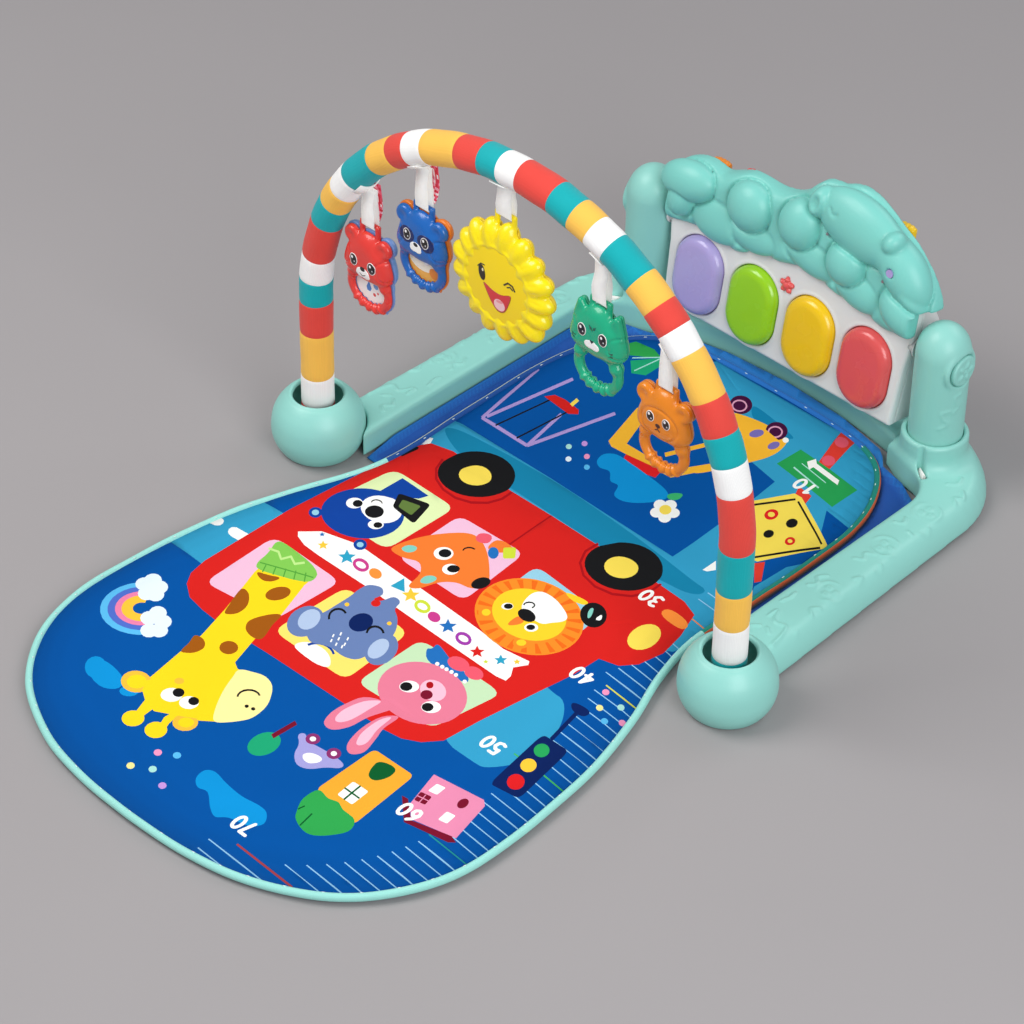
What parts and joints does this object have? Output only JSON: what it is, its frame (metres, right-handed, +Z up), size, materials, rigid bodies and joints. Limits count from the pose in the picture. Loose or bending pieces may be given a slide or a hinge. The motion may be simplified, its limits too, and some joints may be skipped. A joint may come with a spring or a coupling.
{
  "type": "activity play gym",
  "caption": "Baby play gym: padded mat in a plastic frame, a striped arch with hanging rattle toys, and a tilting toy piano with a puffy cover.",
  "frame": {"origin": "on the floor, midway between the two feet of the toy arch", "axes": "+Z up, +Y from the arch towards the piano, +X to the right for a child facing the piano"},
  "size_m": [0.5002, 0.753, 0.3714],
  "materials": {
    "mint_plastic": "satin moulded plastic",
    "white_plastic": "satin moulded plastic",
    "purple_plastic": "glossy moulded plastic",
    "green_plastic": "glossy moulded plastic",
    "yellow_plastic": "glossy moulded plastic",
    "red_plastic": "glossy moulded plastic",
    "orange_plastic": "glossy moulded plastic",
    "toy_red": "glossy moulded plastic",
    "toy_blue": "glossy moulded plastic",
    "toy_yellow": "glossy moulded plastic",
    "toy_green": "glossy moulded plastic",
    "toy_orange": "glossy moulded plastic",
    "toy_lavender": "glossy moulded plastic",
    "bead_plastic": "glossy moulded plastic",
    "grey_plastic": "matt moulded plastic",
    "black_plastic": "matt moulded plastic",
    "circuit_green": "coated board",
    "battery_wrap": "printed wrap",
    "steel": "plated",
    "rubber": "matt",
    "silicone": "matt",
    "mat_print": "printed short-pile fabric",
    "binding_mint": "woven binding tape",
    "skirt_blue": "plain woven fabric",
    "sleeve_stripes": "striped stretch fabric",
    "ribbon_white": "woven ribbon"
  },
  "bodies": {
    "base": {"left_arm": "mint_plastic", "right_arm": "mint_plastic", "rear_rail": "mint_plastic", "left_arch_socket": "mint_plastic", "right_arch_socket": "mint_plastic", "left_post": "mint_plastic", "right_post": "mint_plastic", "pivot_pins": "steel", "pivot_caps": "mint_plastic", "frame_screws": "steel", "anti_slip_feet": "rubber", "mat_corner_straps": "ribbon_white"},
    "mat": {"mat_pad": "mat_print", "mat_binding": "binding_mint", "mat_skirt": "skirt_blue"},
    "piano": {"piano_front_panel": "white_plastic", "piano_rear_case": "white_plastic", "cloud_cover": "mint_plastic", "lamp_lens": "purple_plastic", "pivot_bushings": "white_plastic", "key_membrane": "silicone", "circuit_board": "circuit_green", "speaker": "black_plastic", "battery_cells": "battery_wrap", "battery_contacts": "steel", "piano_screws": "steel"},
    "key_purple": {"key_purple": "purple_plastic"},
    "key_green": {"key_green": "green_plastic"},
    "key_yellow": {"key_yellow": "yellow_plastic"},
    "key_red": {"key_red": "red_plastic"},
    "flower_button": {"flower_button": "red_plastic"},
    "function_button_orange": {"function_button_orange": "orange_plastic"},
    "function_button_red": {"function_button_red": "red_plastic"},
    "function_button_coral": {"function_button_coral": "red_plastic"},
    "function_button_yellow": {"function_button_yellow": "yellow_plastic"},
    "power_switch": {"power_switch": "grey_plastic"},
    "battery_door": {"battery_door": "white_plastic"},
    "arch": {"arch_tube_left": "white_plastic", "arch_tube_right": "white_plastic", "arch_coupler": "white_plastic", "arch_sleeve": "sleeve_stripes"},
    "ribbon_red": {"ribbon_red": "ribbon_white"},
    "toy_red": {"red_front_shell": "toy_red", "red_rear_shell": "toy_lavender", "red_rattle_beads": "bead_plastic"},
    "ribbon_blue": {"ribbon_blue": "ribbon_white"},
    "toy_blue": {"blue_front_shell": "toy_blue", "blue_rear_shell": "toy_orange", "blue_rattle_beads": "bead_plastic"},
    "ribbon_sun": {"ribbon_sun": "ribbon_white"},
    "toy_sun": {"sun_front_shell": "toy_yellow", "sun_rear_shell": "toy_yellow"},
    "ribbon_green": {"ribbon_green": "ribbon_white"},
    "toy_green": {"green_front_shell": "toy_green", "green_rear_shell": "toy_green"},
    "ribbon_orange": {"ribbon_orange": "ribbon_white"},
    "toy_orange": {"orange_front_shell": "toy_orange", "orange_rear_shell": "toy_orange"}
  },
  "joints": [
    {"name": "piano_tilt", "type": "hinge", "parent": "base", "child": "piano", "pos_m": [0, 0.311, 0.112], "axis": [1, 0, 0], "range_deg": [-20, 12]},
    {"name": "arch_lift", "type": "slide", "parent": "base", "child": "arch", "axis": [0, 0, 1], "range_m": [0, 0.06]},
    {"name": "mat_lift", "type": "slide", "parent": "base", "child": "mat", "axis": [0, 0, 1], "range_m": [0, 0.02]},
    {"name": "key_purple_press", "type": "slide", "parent": "piano", "child": "key_purple", "axis": [0, 0.9877, -0.1564], "range_m": [0, 0.003], "stiffness_N_per_m": 250},
    {"name": "key_green_press", "type": "slide", "parent": "piano", "child": "key_green", "axis": [0, 0.9877, -0.1564], "range_m": [0, 0.003], "stiffness_N_per_m": 250},
    {"name": "key_yellow_press", "type": "slide", "parent": "piano", "child": "key_yellow", "axis": [0, 0.9877, -0.1564], "range_m": [0, 0.003], "stiffness_N_per_m": 250},
    {"name": "key_red_press", "type": "slide", "parent": "piano", "child": "key_red", "axis": [0, 0.9877, -0.1564], "range_m": [0, 0.003], "stiffness_N_per_m": 250},
    {"name": "flower_button_press", "type": "slide", "parent": "piano", "child": "flower_button", "axis": [0, 0.9877, -0.1564], "range_m": [0, 0.002], "stiffness_N_per_m": 250},
    {"name": "function_button_orange_press", "type": "slide", "parent": "piano", "child": "function_button_orange", "axis": [0, -0.1564, -0.9877], "range_m": [0, 0.002], "stiffness_N_per_m": 250},
    {"name": "function_button_red_press", "type": "slide", "parent": "piano", "child": "function_button_red", "axis": [0, -0.1564, -0.9877], "range_m": [0, 0.002], "stiffness_N_per_m": 250},
    {"name": "function_button_coral_press", "type": "slide", "parent": "piano", "child": "function_button_coral", "axis": [0, -0.1564, -0.9877], "range_m": [0, 0.002], "stiffness_N_per_m": 250},
    {"name": "function_button_yellow_press", "type": "slide", "parent": "piano", "child": "function_button_yellow", "axis": [0, -0.1564, -0.9877], "range_m": [0, 0.002], "stiffness_N_per_m": 250},
    {"name": "power_switch_slide", "type": "slide", "parent": "piano", "child": "power_switch", "axis": [1, 0, 0], "range_m": [0, 0.004]},
    {"name": "battery_door_lift_off", "type": "slide", "parent": "piano", "child": "battery_door", "axis": [0, 0.9877, -0.1564], "range_m": [0, 0.03]},
    {"name": "ribbon_red_swing", "type": "hinge", "parent": "arch", "child": "ribbon_red", "pos_m": [-0.16385, 0, 0.2801], "axis": [0.639, 0, 0.7692], "range_deg": [-25, 25]},
    {"name": "toy_red_swing", "type": "hinge", "parent": "ribbon_red", "child": "toy_red", "pos_m": [-0.153, 0, 0.24], "axis": [1, 0, 0], "range_deg": [-35, 35]},
    {"name": "ribbon_blue_swing", "type": "hinge", "parent": "arch", "child": "ribbon_blue", "pos_m": [-0.10388, 0, 0.32995], "axis": [0.873, 0, 0.4877], "range_deg": [-25, 25]},
    {"name": "toy_blue_swing", "type": "hinge", "parent": "ribbon_blue", "child": "toy_blue", "pos_m": [-0.097, 0, 0.284], "axis": [1, 0, 0], "range_deg": [-35, 35]},
    {"name": "ribbon_sun_swing", "type": "hinge", "parent": "arch", "child": "ribbon_sun", "pos_m": [-0.0166, 0, 0.35635], "axis": [0.997, 0, 0.0779], "range_deg": [-25, 25]},
    {"name": "toy_sun_swing", "type": "hinge", "parent": "ribbon_sun", "child": "toy_sun", "pos_m": [-0.0155, 0, 0.317], "axis": [1, 0, 0], "range_deg": [-35, 35]},
    {"name": "ribbon_green_swing", "type": "hinge", "parent": "arch", "child": "ribbon_green", "pos_m": [0.08299, 0, 0.34017], "axis": [0.921, 0, -0.3896], "range_deg": [-25, 25]},
    {"name": "toy_green_swing", "type": "hinge", "parent": "ribbon_green", "child": "toy_green", "pos_m": [0.0775, 0, 0.29], "axis": [1, 0, 0], "range_deg": [-35, 35]},
    {"name": "ribbon_orange_swing", "type": "hinge", "parent": "arch", "child": "ribbon_orange", "pos_m": [0.15207, 0, 0.29315], "axis": [0.7002, 0, -0.7139], "range_deg": [-25, 25]},
    {"name": "toy_orange_swing", "type": "hinge", "parent": "ribbon_orange", "child": "toy_orange", "pos_m": [0.142, 0, 0.25], "axis": [1, 0, 0], "range_deg": [-35, 35]}
  ]
}
